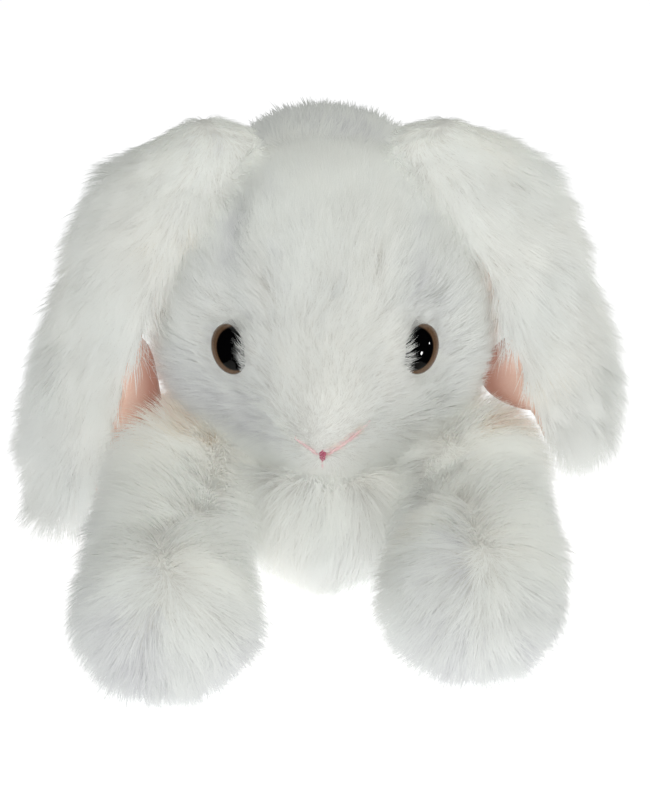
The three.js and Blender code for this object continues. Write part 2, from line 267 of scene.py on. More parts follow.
def backing_look():
    """The knitted backing that the pile grows from."""
    look, tree, shader = new_look("knitted_backing", "fur", 0.9, 0.2, 0.2)
    noise = object_noise(tree, 900)
    colour = ramp(tree, noise, [(0.3, (0.74, 0.73, 0.71)), (0.7, (0.86, 0.86, 0.84))])
    tree.links.new(colour, shader.inputs["Base Color"])
    return look


def velour_look():
    """Short pink velour with a darker nap where it was brushed the other way, and dark salmon painted as
    shade on the inner part of the ear's fold.
    """
    look, tree, shader = new_look("pink_velour", "lining", 0.85, 0.35, 0.2)
    fine = object_noise(tree, 1400, 4)
    broad = object_noise(tree, 70, 2)
    nap = [(0.3, (0.74, 0.42, 0.34)), (0.55, (0.86, 0.54, 0.44)), (0.75, (0.92, 0.64, 0.53))]
    colour = ramp(tree, broad, nap)
    speckled = mixed(tree, fine, colour, (0.94, 0.72, 0.62))
    # painted shade: the fold's inner part, towards the cheek, turns dark salmon
    depth = tree.nodes.new("ShaderNodeAttribute")
    depth.attribute_name = "fold_depth"
    shade = ramp(tree, depth.outputs["Fac"], [(0.15, (0, 0, 0)), (0.75, (1, 1, 1))])
    tree.links.new(mixed(tree, shade, speckled, (0.56, 0.27, 0.21)), shader.inputs["Base Color"])
    return look


def thread_look(name, dark, light):
    look, tree, shader = new_look(name, "thread", 0.5, 0.2, 0.4)
    noise = object_noise(tree, 2500, 2)
    tree.links.new(ramp(tree, noise, [(0.3, dark), (0.7, light)]), shader.inputs["Base Color"])
    return look


def eye_look():
    """Glossy eye: a black pupil, and a brown iris with fine rays."""
    look, tree, shader = new_look("glossy_eye", "eye", 0.05, 0.0, 0.22)
    uv, _, _ = uv_axes(tree)
    shifted = tree.nodes.new("ShaderNodeMapping")
    shifted.inputs["Location"].default_value = (-0.20, -0.36, 0)
    shifted.inputs["Scale"].default_value = (1, 0.72, 0)
    tree.links.new(uv, shifted.inputs["Vector"])
    reach = tree.nodes.new("ShaderNodeVectorMath")
    reach.operation = "LENGTH"
    tree.links.new(shifted.outputs["Vector"], reach.inputs[0])
    rays = tree.nodes.new("ShaderNodeTexNoise")
    rays.inputs["Scale"].default_value = 40
    tree.links.new(uv, rays.inputs["Vector"])
    iris = mixed(tree, rays.outputs["Fac"], (0.05, 0.028, 0.016), (0.21, 0.125, 0.075))
    ring = ramp(tree, reach.outputs["Value"], [(0.29, (0, 0, 0)), (0.33, (1, 1, 1))])
    tree.links.new(mixed(tree, ring, (0.001, 0.001, 0.0012), iris), shader.inputs["Base Color"])
    return look


def plain_look(name, slot, dark, light, scale, roughness):
    look, tree, shader = new_look(name, slot, roughness, 0.0, 0.4)
    noise = object_noise(tree, scale)
    tree.links.new(ramp(tree, noise, [(0.3, dark), (0.7, light)]), shader.inputs["Base Color"])
    return look


PILE = pile_look()
BACKING = backing_look()
VELOUR = velour_look()
NOSE_THREAD = thread_look("deep_pink_thread", (0.42, 0.07, 0.14), (0.62, 0.16, 0.26))
SEAM_THREAD = thread_look("pale_pink_thread", (0.84, 0.56, 0.58), (0.92, 0.72, 0.74))
EYE = eye_look()
WASHER = plain_look("washer_plastic", "washer", (0.55, 0.55, 0.55), (0.68, 0.68, 0.68), 300, 0.4)


# ---------------------------------------------------------------- skins
def new_object(name, mesh, look):
    obj = bpy.data.objects.new(name, mesh)
    scene.collection.objects.link(obj)
    mesh.materials.clear()
    mesh.materials.append(look)
    return obj


def apply_modifiers(obj):
    bpy.context.view_layer.update()
    shaped = bpy.data.meshes.new_from_object(obj.evaluated_get(bpy.context.evaluated_depsgraph_get()))
    obj.modifiers.clear()
    old = obj.data
    obj.data = shaped
    bpy.data.meshes.remove(old)


def get_points(mesh):
    points = np.empty(len(mesh.vertices) * 3)
    mesh.vertices.foreach_get("co", points)
    return points.reshape(-1, 3)


def set_points(mesh, points):
    mesh.vertices.foreach_set("co", np.ascontiguousarray(points, dtype=np.float32).ravel())
    mesh.update()


def get_normals(mesh):
    normals = np.empty(len(mesh.vertices) * 3)
    mesh.vertices.foreach_get("normal", normals)
    return normals.reshape(-1, 3)


def shape_of(obj):
    return get_points(obj.data), get_normals(obj.data)


def shade_smooth(mesh):
    for polygon in mesh.polygons:
        polygon.use_smooth = True


def start_skin(name, nodes, voxel, smoothing):
    """A closed skin round CAD nodes, remeshed evenly and smoothed."""
    shape = bmesh.new()
    for node in nodes:
        shape.from_mesh(frame["nodes"][node].data)
    mesh = bpy.data.meshes.new(name)
    shape.to_mesh(mesh)
    shape.free()
    obj = new_object(name, mesh, BACKING)
    remesh = obj.modifiers.new("even", "REMESH")
    remesh.mode = "VOXEL"
    remesh.voxel_size = voxel
    remesh.use_smooth_shade = True
    smooth = obj.modifiers.new("soft", "SMOOTH")
    smooth.factor = 0.5
    smooth.iterations = smoothing
    apply_modifiers(obj)
    return obj


SWELL = 1.6 * MM
PUFF_CAP = 2.4 * MM
PUFF_PRESSURE = 4
PUFF_FRAMES = 20


def puff(caps):
    """Blows the stuffed skins up from inside as cloth; no point moves further than its cap."""
    starts = {obj: get_points(obj.data) for obj in caps}
    for obj in caps:
        cloth = obj.modifiers.new("puff", "CLOTH")
        cloth.settings.use_pressure = True
        cloth.settings.uniform_pressure_force = PUFF_PRESSURE
        cloth.settings.effector_weights.gravity = 0
        cloth.collision_settings.use_collision = False
    for number in range(1, PUFF_FRAMES + 1):
        scene.frame_set(number)
    graph = bpy.context.evaluated_depsgraph_get()
    blown = {obj: get_points(obj.evaluated_get(graph).data) for obj in caps}
    for obj, cap in caps.items():
        obj.modifiers.clear()
        moved = blown[obj] - starts[obj]
        far = np.linalg.norm(moved, axis=1, keepdims=True)
        set_points(obj.data, starts[obj] + moved * np.minimum(1, cap / np.maximum(far, 1e-9)))
    scene.frame_set(1)


def swell(obj, amount):
    set_points(obj.data, get_points(obj.data) + get_normals(obj.data) * amount)


def subdivide(obj):
    finer = obj.modifiers.new("finer", "SUBSURF")
    finer.levels = 1
    finer.render_levels = 1
    apply_modifiers(obj)
    shade_smooth(obj.data)


LEGS = [f"{pair}_leg_{side}" for pair in ("front", "hind") for side in SIDES]
SKIN_NODES = {
    "torso": ["body_stuffing"],
    "neck": ["neck_stuffing"],
    "head": ["head_stuffing"],
    "tail": ["tail_stuffing"],
    **{leg: [leg + "_stuffing"] for leg in LEGS},
    **{f"ear_{side}": [f"ear_{side}_outer"] for side in SIDES},
}
VOXEL = {"torso": 5 * MM, "neck": 3 * MM, "tail": 3 * MM, "ear_left": 2.2 * MM, "ear_right": 2.2 * MM}
skins = {}
for body, nodes in SKIN_NODES.items():
    thin = body.startswith("ear") or body == "neck"
    skins[body] = start_skin(f"{body}_padding", nodes, VOXEL.get(body, 4 * MM), 3 if thin else 8)
stuffed = {skins[b]: PUFF_CAP for b in skins if not b.startswith("ear") and b != "neck"}
for obj in stuffed:
    swell(obj, SWELL)
puff(stuffed)


# ---------------------------------------------------------------- the face is shaped
nose_low, nose_high = (np.array(c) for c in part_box("nose_stitching"))
NOSE = np.array([(nose_low[0] + nose_high[0]) / 2 - 2.5 * MM, nose_low[1], nose_low[2] - 3.5 * MM])


def eye_frame(side):
    """The seat, outward axis, radius and height of an eye's dome."""
    points = node_points(f"eye_{side}")
    apex = points[np.argmax(np.linalg.norm(points - HEAD, axis=1))]
    centre = np.array((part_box(f"eye_washer_{side}")[0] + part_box(f"eye_washer_{side}")[1]) / 2)
    axis = unit(apex - centre)
    away = points - centre
    across = np.linalg.norm(away - dot(away, axis)[:, None] * axis, axis=1)
    radius = across.max()
    wide = away[across > radius * 0.98]
    seat = centre + axis * dot(wide, axis).min()
    height = dot(apex - seat, axis)
    return seat, axis, radius, height


EYES = {side: eye_frame(side) for side in SIDES}


def bump_at(points, centre, radius):
    return np.exp(-((points - centre) ** 2).sum(-1) / radius ** 2)


def in_wedge(points):
    """How far a point lies above the two lines that run up from the nose, in metres."""
    return points[:, 2] - NOSE[2] - 0.66 * np.abs(points[:, 0] - NOSE[0])


def brow_gap(points):
    """Distance from the two seams that run from the ears' roots down to the eyes."""
    gaps = []
    for side_name, (seat, _, _, _) in EYES.items():
        side = SIDES[side_name]
        high = JOINT[f"ear_{side_name}_lift"] + np.array([-side * 4, -12, 2]) * MM
        low = seat + np.array([-side * 4, -2, 10]) * MM
        along = np.clip(dot(points - high, low - high) / dot(low - high, low - high), 0, 1)
        gaps.append(np.linalg.norm(points - high - along[:, None] * (low - high), axis=1))
    return np.array(gaps)


# Place from the nose, reach, and rise on the left and on the right, in millimetres.
FACE_FORMS = {
    "pad": ((11, 3, -9), 9, 4.6, 4.6),
    "cheek": ((44, 38, 4), 22, 4.5, 4.5),
    "lower_cheek": ((34, 20, -7), 14, 1.5, 4.0),
    "hollow": ((25, 12, 4), 11, -5.6, -2.0),
    "lower_hollow": ((26, 14, -12), 9, -2.0, -2.0),
}


def shape_face(obj):
    """A wedge of a snout over two soft pads, hollows beside it, sunk eyes, cheeks and a low chin."""
    points, normals = shape_of(obj)
    move = np.zeros(len(points))
    from_nose = np.linalg.norm(points - NOSE, axis=1)
    for side in SIDES.values():
        for (x, y, z), reach, left_rise, right_rise in FACE_FORMS.values():
            rise = left_rise if side < 0 else right_rise
            move += rise * MM * bump_at(points, NOSE + np.array([side * x, y, z]) * MM, reach * MM)
    wedge = step(in_wedge(points), -1.5 * MM, 3.5 * MM) * (1 - step(from_nose, 12 * MM, 46 * MM))
    move += 3.8 * MM * wedge * step(from_nose, 1 * MM, 6 * MM)
    for side_name, (seat, _, radius, _) in EYES.items():
        side = SIDES[side_name]
        away = np.linalg.norm(points - seat, axis=1)
        lid = seat + np.array([-side * 7.0, -2, 1]) * MM
        outer = step((points[:, 0] - seat[0]) * side, -8 * MM, 6 * MM)
        move -= (1.5 + 1.8 * outer) * MM * np.exp(-(((away - radius) / (6 * MM)) ** 2))
        move += 4.4 * MM * bump_at(points, lid, 5.5 * MM)
    left_gap, right_gap = brow_gap(points)
    left_seam = 3.0 * MM * np.exp(-((left_gap / (7 * MM)) ** 2))
    right_seam = 1.6 * MM * np.exp(-((right_gap / (6 * MM)) ** 2))
    move -= left_seam + right_seam
    line = points - NOSE
    below = step(-line[:, 2], 1 * MM, 4 * MM) * (1 - step(-line[:, 2], 12 * MM, 18 * MM))
    front = step(-line[:, 1], -25 * MM, -12 * MM)
    move -= 2.6 * MM * below * front * np.exp(-((line[:, 0] / (2.4 * MM)) ** 2))
    move += 4.0 * MM * bump_at(points, NOSE + np.array([0, 18, -19]) * MM, 17 * MM)
    spread = ((line - np.array([0, 10, -14]) * MM) / (np.array([25, 18, 12]) * MM)) ** 2
    lower = 11 * MM * np.exp(-spread.sum(1))
    placed = points + normals * move[:, None]
    placed[:, 2] -= lower
    set_points(obj.data, placed)


def shape_ear(side_name, obj):
    """The root of an ear is broad and lies over the side of the head."""
    side = SIDES[side_name]
    points, normals = shape_of(obj)
    low, high = points[:, 2].min(), points[:, 2].max()
    fallen = (high - points[:, 2]) / (high - low)
    inward = unit(np.array([-side, -0.12, -0.15]))
    root = 1 - step(fallen, 0.08, 0.42)
    move = 11 * MM * root * step(dot(normals, inward), -0.25, 0.75)
    set_points(obj.data, points + inward * move[:, None])


def shape_chest(obj):
    """The chest comes forward to the chin."""
    points, normals = shape_of(obj)
    spread = ((points - NOSE - np.array([0, 26, -36]) * MM) / (np.array([30, 22, 20]) * MM)) ** 2
    placed = points + normals * (5.0 * MM * np.exp(-spread.sum(1)))[:, None]
    set_points(obj.data, placed)


def side_of(leg):
    return SIDES[leg.rsplit("_", 1)[1]]


def shape_legs(leg, obj):
    """The upper arm is fuller on its outer side than its core."""
    root = JOINT[leg + "_lift"]
    outward = side_of(leg)
    points, normals = shape_of(obj)
    ahead = root[1] - points[:, 1]
    arm = step(ahead, -22 * MM, -8 * MM) * (1 - step(ahead, 44 * MM, 66 * MM))
    outer = step(normals[:, 0] * outward, -0.5, 0.8)
    upper = step(ahead, -26 * MM, -14 * MM) * (1 - step(ahead, 4 * MM, 22 * MM)) * step(normals[:, 2], 0, 0.8)
    raised = (5.5 * arm * outer + 4.5 * upper) * MM
    set_points(obj.data, points + normals * raised[:, None])


for side_name in SIDES:
    shape_legs(f"front_leg_{side_name}", skins[f"front_leg_{side_name}"])
for body, obj in skins.items():
    subdivide(obj)
shape_face(skins["head"])
shape_chest(skins["torso"])
for side_name in SIDES:
    shape_ear(side_name, skins[f"ear_{side_name}"])


class Surface:
    """A skin's triangles, for picking points on it and measuring to it."""

    def __init__(self, obj):
        mesh = obj.data
        mesh.calc_loop_triangles()
        corners = np.empty(len(mesh.loop_triangles) * 3, dtype=np.int64)
        mesh.loop_triangles.foreach_get("vertices", corners)
        corners = corners.reshape(-1, 3)
        self.points = get_points(mesh)
        self.triangles = self.points[corners]
        self.normals = get_normals(mesh)[corners]
        a, b, c = self.triangles[:, 0], self.triangles[:, 1], self.triangles[:, 2]
        self.areas = np.linalg.norm(np.cross(b - a, c - a), axis=1) / 2
        self.tree = BVHTree.FromPolygons(self.points.tolist(), corners.tolist())

    def pick(self, random, density):
        """Random points at `density` per square millimetre, with their smooth normals."""
        count = random.poisson(self.areas.sum() * density / MM ** 2)
        which = random.choice(len(self.areas), count, p=self.areas / self.areas.sum())
        a, b = random.random(count), random.random(count)
        over = a + b > 1
        a[over], b[over] = 1 - a[over], 1 - b[over]
        weights = np.stack([1 - a - b, a, b], axis=1)[..., None]
        return (self.triangles[which] * weights).sum(1), unit((self.normals[which] * weights).sum(1))

    def distance(self, points):
        """Distance from each point to the surface, negative inside."""
        found = np.empty(len(points))
        for i, p in enumerate(points):
            place, normal, _, far = self.tree.find_nearest(Vector(p))
            inside = (Vector(p) - place).dot(normal) < 0
            found[i] = -far if inside else far
        return found


surfaces = {body: Surface(obj) for body, obj in skins.items()}


# ---------------------------------------------------------------- pile
FUR_FLOOR = 0.3 * MM


def grow(name, body, fur, seed, keep=None):
    """Grows one panel's pile from a skin as tapered ribbons gathered into tufts."""
    random = np.random.default_rng(seed)
    points, normals = surfaces[body].pick(random, fur["most"])
    if keep is not None:
        chosen = keep(points)
        points, normals = points[chosen], normals[chosen]
    chosen = random.random(len(points)) * fur["most"] < fur["density"](points, normals)
    points, normals = points[chosen], normals[chosen]
    count = len(points)

    heads = max(1, int(count / fur["tuft"]))
    tree = KDTree(heads)
    chiefs = random.choice(count, heads, replace=False)
    for i, chief in enumerate(chiefs):
        tree.insert(points[chief], i)
    tree.balance()
    tuft = np.array([tree.find(p)[1] for p in points])
    chief = chiefs[tuft]

    combed = flat_on(fur["comb"](points, normals), normals)
    sideways = np.cross(normals, combed)
    swirl = 0.30 * waves(points, 18 * MM, seed + 1) + 0.15 * waves(points, 7 * MM, seed + 2)
    turn = fur["unruly"] * (swirl + random.normal(0, 0.10, heads)[tuft] + random.normal(0, 0.2, count))
    along = combed * np.cos(turn)[:, None] + sideways * np.sin(turn)[:, None]

    length = fur["length"](points, normals)
    length = length * (1 + 0.08 * waves(points, 9 * MM, seed + 3)) * random.uniform(0.9, 1.08, heads)[tuft]
    length = length * random.uniform(0.7, 1.06, count)
    lean = fur["lean"](points, normals) + 6 * waves(points, 8 * MM, seed + 4)
    lean = lean + random.normal(0, 4, heads)[tuft] + random.normal(0, 5, count)
    bend = fur["bend"](points, normals)
    low = np.radians(np.clip(lean - bend, 4, 82))
    high = np.radians(np.clip(lean + bend, 10, 100))

    joints = fur["joints"]
    stations = np.linspace(0, 1, joints + 1)
    place = points - normals * 0.5 * MM
    path = [place]
    for s in (stations[1:] + stations[:-1]) / 2:
        angle = low + (high - low) * s
        run = normals * np.cos(angle)[:, None] + along * np.sin(angle)[:, None]
        run = run + np.array([0, 0, -1]) * fur["droop"] * s
        place = place + unit(run) * (length / joints)[:, None]
        path.append(place)
    strands = np.stack(path, axis=1)
    gather = fur["gather"] * random.uniform(0.6, 1, heads)[tuft]
    gap = points[chief] - points
    strands = strands + gap[:, None, :] * (gather[:, None] * stations ** 1.4)[..., None]
    strands[..., 2] = np.maximum(strands[..., 2], FUR_FLOOR)

    run = unit(np.gradient(strands, axis=1))
    twist = random.uniform(-0.9, 0.9, count)
    side = unit(np.cross(run, normals[:, None, :]))
    rise = np.cross(side, run)
    across = side * np.cos(twist)[:, None, None] + rise * np.sin(twist)[:, None, None]
    half = fur["width"](points) * random.uniform(0.75, 1.15, count) / 2
    reach = across[:, :-1] * (half[:, None] * (1 - 0.75 * stations[:-1] ** 2))[..., None]
    last = 2 * joints
    vertices = np.empty((count, last + 1, 3))
    vertices[:, 0:last:2] = strands[:, :-1] - reach
    vertices[:, 1:last:2] = strands[:, :-1] + reach
    vertices[:, last] = strands[:, -1]
    vertices[..., 2] = np.maximum(vertices[..., 2], FUR_FLOOR / 2)
    shade = unit(normals[:, None, :] * (1 - fur["own_shade"]) + np.cross(across, run) * fur["own_shade"])
    pairs = np.minimum(np.arange(last + 1) // 2, joints)

    tone = fur["tone"](points) + 0.08 * waves(points, 20 * MM, seed + 5)
    tone = np.clip(tone + random.normal(0, 0.05, heads)[tuft] + random.normal(0, 0.03, count), 0.01, 0.98)
    uv = np.empty((count, last + 1, 2))
    edges = np.where(np.arange(last + 1) % 2 == 0, -1, 1) / 128
    edges[last] = 0
    uv[..., 0] = tone[:, None] + edges
    uv[..., 1] = stations[pairs]
    return ribbons(name, vertices, shade[:, pairs], uv, PILE)


def ribbons(name, vertices, normals, uv, look):
    """A mesh of tapered strips: each has pairs of points along it and one point at its tip."""
    count, each = vertices.shape[:2]
    quads = each // 2 - 1
    corners = [i * 2 + c for i in range(quads) for c in (0, 1, 3, 2)] + [each - 3, each - 2, each - 1]
    starts = [4 * i for i in range(quads + 1)]
    corners = (np.arange(count)[:, None] * each + corners).ravel()
    starts = (np.arange(count)[:, None] * (4 * quads + 3) + starts).ravel()
    mesh = bpy.data.meshes.new(name)
    mesh.vertices.add(count * each)
    mesh.vertices.foreach_set("co", vertices.astype(np.float32).ravel())
    mesh.loops.add(len(corners))
    mesh.loops.foreach_set("vertex_index", corners.astype(np.int32))
    mesh.polygons.add(len(starts))
    mesh.polygons.foreach_set("loop_start", starts.astype(np.int32))
    mesh.update(calc_edges=True)
    mesh.polygons.foreach_set("use_smooth", np.ones(len(starts), dtype=bool))
    layer = mesh.uv_layers.new(name="OFBake")
    layer.data.foreach_set("uv", uv.reshape(-1, 2)[corners].astype(np.float32).ravel())
    mesh.normals_split_custom_set_from_vertices(normals.reshape(-1, 3).astype(np.float32))
    return new_object(name, mesh, look)


def constant(value):
    """A field that is the same at every point."""
    return lambda *_: value


def fur_of(**values):
    usual = {
        "most": 2.0,
        "density": constant(2.0),
        "length": constant(12 * MM),
        "width": constant(0.26 * MM),
        "lean": constant(48.0),
        "bend": constant(17.0),
        "tone": constant(0.45),
        "tuft": 12,
        "joints": 3,
        "unruly": 1.0,
        "gather": 0.2,
        "droop": 0.15,
        "own_shade": 0.08,
    }
    usual.update(values)
    return usual


SEEN_FROM = unit(np.array([0, -0.93, 0.37]))


def facing(normals):
    """1 on what faces forwards or up, 0 on what faces back."""
    return step(normals @ SEEN_FROM, -0.35, 0.2)


def eye_gap(points):
    """Distance outside the nearer eye's rim."""
    gaps = [np.linalg.norm(points - seat, axis=1) - radius for seat, _, radius, _ in EYES.values()]
    return np.minimum(*gaps)


def wing_gap(points):
    """Distance from the two stitched lines that run up from the nose."""
    across = np.abs(points[:, 0] - NOSE[0])
    rise = points[:, 2] - NOSE[2]
    along = np.clip(across * 0.82 + rise * 0.57, 0, 15 * MM)
    return np.hypot(across - along * 0.82, rise - along * 0.57)


EAR_ROOTS = [JOINT[f"ear_{side_name}_lift"] for side_name in SIDES]


def by_ears(points):
    """1 at an ear's root on the head, 0 away from it."""
    gaps = [np.linalg.norm(points - root, axis=1) for root in EAR_ROOTS]
    return 1 - step(np.minimum(*gaps), 14 * MM, 30 * MM)


def before_eye(points):
    """1 close to an eye on the side of the nose, where strands lie over its edge."""
    close = 1 - step(eye_gap(points), 1.0 * MM, 4.5 * MM)
    inner = np.zeros(len(points))
    for side_name, (seat, _, _, _) in EYES.items():
        towards = (points[:, 0] - seat[0]) * -SIDES[side_name] + 0.35 * (points[:, 2] - seat[2])
        inner = np.maximum(inner, step(towards, 1 * MM, 5 * MM) * (np.abs(points[:, 0] - seat[0]) < 12 * MM))
    return close * inner


def head_comb(points, normals):
    away = unit(points - (NOSE + np.array([0, 8, 0]) * MM))
    behind = step(points[:, 1], HEAD[1], HEAD[1] + 30 * MM)
    combed = away + np.array([0, 0, 0.25]) + behind[:, None] * np.array([0, 0, -1.5])
    ears = by_ears(points)[:, None]
    outward = np.sign(points[:, :1] - HEAD[0]) * np.array([1, 0, 0]) + np.array([0, -0.2, -0.2])
    return combed * (1 - ears) + outward * ears


def head_density(points, normals):
    return (1.2 + 6.8 * facing(normals)) * (eye_gap(points) > -0.6 * MM)


def head_length(points, normals):
    from_nose = np.linalg.norm(points - NOSE, axis=1)
    length = 3.6 + 6.4 * step(from_nose, 4 * MM, 55 * MM) + 4 * by_ears(points) + 5.5 * under_chin(points)
    near_eye = step(eye_gap(points), 0, 9 * MM)
    beside = 4.5 * step(np.abs(points[:, 0] - HEAD[0]), 38 * MM, 50 * MM)
    return ((length + beside) * (0.5 + 0.5 * near_eye) + 2.2 * before_eye(points)) * MM


def under_chin(points):
    return step(NOSE[2] - points[:, 2], 9 * MM, 16 * MM)


def head_lean(points, normals):
    from_nose = np.linalg.norm(points - NOSE, axis=1)
    return 60 - 12 * step(from_nose, 8 * MM, 40 * MM) - 8 * before_eye(points) - 12 * under_chin(points)


def head_bend(points, normals):
    return 17 + 30 * before_eye(points)


def head_width(points):
    from_nose = np.linalg.norm(points - NOSE, axis=1)
    return (0.13 + 0.10 * step(from_nose, 30 * MM, 95 * MM) - 0.04 * before_eye(points)) * MM


def head_tone(points):
    """Painted shade in the hollow beside the snout, in the eye sockets, along the brow seams and on the
    crown, deepest on the left; pink along the stitched line on the right, warm at the ears' seams.
    """
    across = points[:, 0] - NOSE[0]
    from_nose = np.linalg.norm(points - NOSE, axis=1)
    reach = np.where(across > 0, 15 * MM, 4 * MM)
    line = (1 - step(wing_gap(points), 0.7 * MM, 1.9 * MM)) * (1 - step(from_nose, reach * 0.8, reach * 1.1))
    tip = 1 - step(from_nose, 1.5 * MM, 3.5 * MM)
    pink = np.maximum(line * 0.85, tip)
    seam = 0.30 * by_ears(points) * (waves(points, 8 * MM, 31) > 0.1)
    # painted shade: grey for the hollow left of the snout, the eye sockets, the brow seams and the crown
    hollow = 0.40 * bump_at(points, NOSE + np.array([-22, 12, 1]) * MM, 13 * MM)
    hollow = hollow + 0.22 * bump_at(points, NOSE + np.array([-38, 24, 8]) * MM, 18 * MM)
    brow_left, brow_right = brow_gap(points)
    brow_shade = 0.24 * np.exp(-((brow_left / (6 * MM)) ** 2)) + 0.14 * np.exp(-((brow_right / (5 * MM)) ** 2))
    beyond = step(np.abs(points[:, 0] - HEAD[0]), 26 * MM, 34 * MM)
    socket = (1 - step(eye_gap(points), 1 * MM, 5 * MM)) * np.where(across < 0, 0.30, 0.10) * beyond
    crown_shade = 0.08 * step(points[:, 2], HEAD[2] + 28 * MM, HEAD[2] + 45 * MM)
    painted_shade = np.clip(hollow + socket + brow_shade + crown_shade, 0, 0.42)
    return (0.44 + seam - painted_shade) * (1 - pink) + 0.97 * pink


HEAD_FUR = fur_of(
    most=8.0, density=head_density, comb=head_comb, length=head_length, lean=head_lean, bend=head_bend,
    width=head_width, tone=head_tone, tuft=18, gather=0.2, joints=2,
)
GUSSET_HALF = (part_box("head_gusset")[1][0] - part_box("head_gusset")[0][0]) / 2
CHIN_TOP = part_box("chin_panel")[1][2]
HEAD_PANELS = {
    "head_gusset": lambda p: (np.abs(p[:, 0] - HEAD[0]) <= GUSSET_HALF) & (p[:, 2] > CHIN_TOP),
    "head_side_left": lambda p: (p[:, 0] < HEAD[0] - GUSSET_HALF) & (p[:, 2] > CHIN_TOP),
    "head_side_right": lambda p: (p[:, 0] > HEAD[0] + GUSSET_HALF) & (p[:, 2] > CHIN_TOP),
    "chin_panel": lambda p: p[:, 2] <= CHIN_TOP,
}


# ---------------------------------------------------------------- ears
class EarLine:
    """Where a point lies on an ear: height, sideways share and the direction of the ear there."""

    def __init__(self, surface):
        points = surface.points
        low, high = points[:, 2].min(), points[:, 2].max()
        edges = np.linspace(low, high, 25)
        rows = []
        for bottom, top in zip(edges[:-1], edges[1:]):
            band = points[(points[:, 2] >= bottom) & (points[:, 2] <= top)]
            centre = (band.min(0) + band.max(0)) / 2
            flat = (band - band.mean(0))[:, :2]
            _, _, axes = np.linalg.svd(flat, full_matrices=False)
            axis = axes[0] * (-1 if axes[0][1] > 0 else 1)
            away = (band - centre)[:, :2] @ axis
            middle = (away.max() + away.min()) / 2
            rows.append([*(centre[:2] + axis * middle), *axis, (away.max() - away.min()) / 2])
        self.heights = (edges[:-1] + edges[1:]) / 2
        rows = np.array(rows)
        padded = np.concatenate([rows[:1], rows, rows[-1:]])
        self.rows = (padded[:-2] + padded[1:-1] * 2 + padded[2:]) / 4
        self.low, self.high = low, high

    def at(self, points):
        """Sideways share, sideways direction and downward direction at some points."""
        z = points[:, 2]
        centre, axis, half = self.edge(z)
        across = dot(points - centre, axis) / np.maximum(half, 1 * MM)
        below = np.stack([np.interp(z - 2 * MM, self.heights, self.rows[:, i]) for i in (0, 1)], axis=1)
        above = np.stack([np.interp(z + 2 * MM, self.heights, self.rows[:, i]) for i in (0, 1)], axis=1)
        down = unit(np.concatenate([below - above, np.full((len(z), 1), -4 * MM)], axis=1))
        return across, axis, down

    def edge(self, heights):
        """Centre, sideways direction and half width at some heights."""
        x, y, ax, ay, half = (np.interp(heights, self.heights, column) for column in self.rows.T)
        flat = unit(np.stack([ax, ay, 0 * ax], axis=1))
        return np.stack([x, y, heights], axis=1), flat, half

    def fallen(self, points):
        """0 at the ear's root to 1 at its tip."""
        return np.clip((self.high - points[:, 2]) / (self.high - self.low), 0, 1)


def ear_parts(side_name):
    body = f"ear_{side_name}"
    side = SIDES[side_name]
    surface = surfaces[body]
    line = EarLine(surface)

    def inner(points, normals):
        """1 where the surface faces the ear's own lining."""
        across, axis, down = line.at(points)
        outwards = unit(np.cross(axis, down)) * side
        if dot(outwards, np.array([side, -0.6, 0])).mean() < 0:
            outwards = -outwards
        return -dot(normals, outwards), across

    def lined(points, normals):
        inside, across = inner(points, normals)
        fallen = line.fallen(points)
        start = 0.5 if side_name == "left" else 0.6
        strip = step(fallen, start, start + 0.25) * (1 - step(fallen, 0.88, 0.95))
        edge = 0.95 - (0.26 if side_name == "left" else 0.02) * strip
        covered = (inside > 0.35) & (np.abs(across) < 0.93) & (fallen > 0.14)
        return covered | ((across > edge) & (strip > 0.05) & (inside > -0.75))

    def comb(points, normals):
        across, axis, down = line.at(points)
        fan = 0.6 * np.sign(across) * np.abs(across) ** 2
        root = (1 - step(line.fallen(points), 0.05, 0.30)) * step(-normals[:, 0] * side, -0.2, 0.6)
        over = root[:, None] * np.array([-side * 1.6, -0.3, 0.9])
        return down + axis * fan[:, None] + over

    def density(points, normals):
        return (1.2 + 4.2 * facing(normals)) * ~lined(points, normals)

    fur = fur_of(
        most=5.4, comb=comb, density=density,
        length=lambda p, n: (13.0 - 6.0 * (1 - step(line.fallen(p), 0.02, 0.16))) * MM,
        lean=lambda p, n: 52 - 8 * step(line.fallen(p), 0.6, 1) + 30 * (1 - step(line.fallen(p), 0.02, 0.16)),
        width=constant(0.17 * MM),
        tuft=22, gather=0.2, droop=0.1,
    )
    return fur, lined, line


FOLD_SPAN = {"left": (0.48, 0.90), "right": (0.60, 0.82)}
FOLD_WIDTH = {"left": 19 * MM, "right": 17 * MM}


